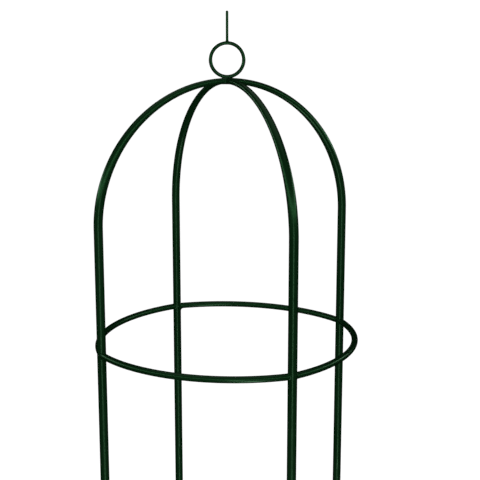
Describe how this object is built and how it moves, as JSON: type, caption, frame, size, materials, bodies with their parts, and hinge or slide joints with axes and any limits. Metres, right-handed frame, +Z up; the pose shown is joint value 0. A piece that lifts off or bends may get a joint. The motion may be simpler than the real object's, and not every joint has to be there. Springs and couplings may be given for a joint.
{
  "type": "garden obelisk",
  "caption": "Round plant frame of dark green coated steel tube, with straight legs, a domed top of crossing arches, hoops that ring the legs, and a wire circle and spike as its finial.",
  "frame": {"origin": "on the ground at the middle of the four legs", "axes": "+Z up; -Y is the front, and the legs stand on the diagonals"},
  "size_m": [0.3912, 0.3912, 1.8968],
  "materials": {
    "green_coat": "very dark green satin coating",
    "foot_plastic": "near-black moulded plastic",
    "bare_steel": "plain zinc-coated steel"
  },
  "bodies": {
    "root": {"cross_arch": "green_coat", "finial_ring": "green_coat", "finial_spike": "green_coat", "foot_plug_back_left": "foot_plastic", "foot_plug_back_right": "foot_plastic", "foot_plug_front_left": "foot_plastic", "foot_plug_front_right": "foot_plastic", "half_arch_back_right": "green_coat", "half_arch_front_left": "green_coat", "lower_hoop_back": "green_coat", "lower_hoop_front": "green_coat", "lower_hoop_left": "green_coat", "lower_hoop_right": "green_coat", "lower_leg_back_left": "green_coat", "lower_leg_back_right": "green_coat", "lower_leg_front_left": "green_coat", "lower_leg_front_right": "green_coat", "lower_ring_pegs": "bare_steel", "middle_hoop_back": "green_coat", "middle_hoop_front": "green_coat", "middle_hoop_left": "green_coat", "middle_hoop_right": "green_coat", "middle_leg_back_left": "green_coat", "middle_leg_back_right": "green_coat", "middle_leg_front_left": "green_coat", "middle_leg_front_right": "green_coat", "middle_ring_pegs": "bare_steel", "upper_hoop_back": "green_coat", "upper_hoop_front": "green_coat", "upper_hoop_left": "green_coat", "upper_hoop_right": "green_coat", "upper_ring_pegs": "bare_steel"}
  },
  "joints": []
}
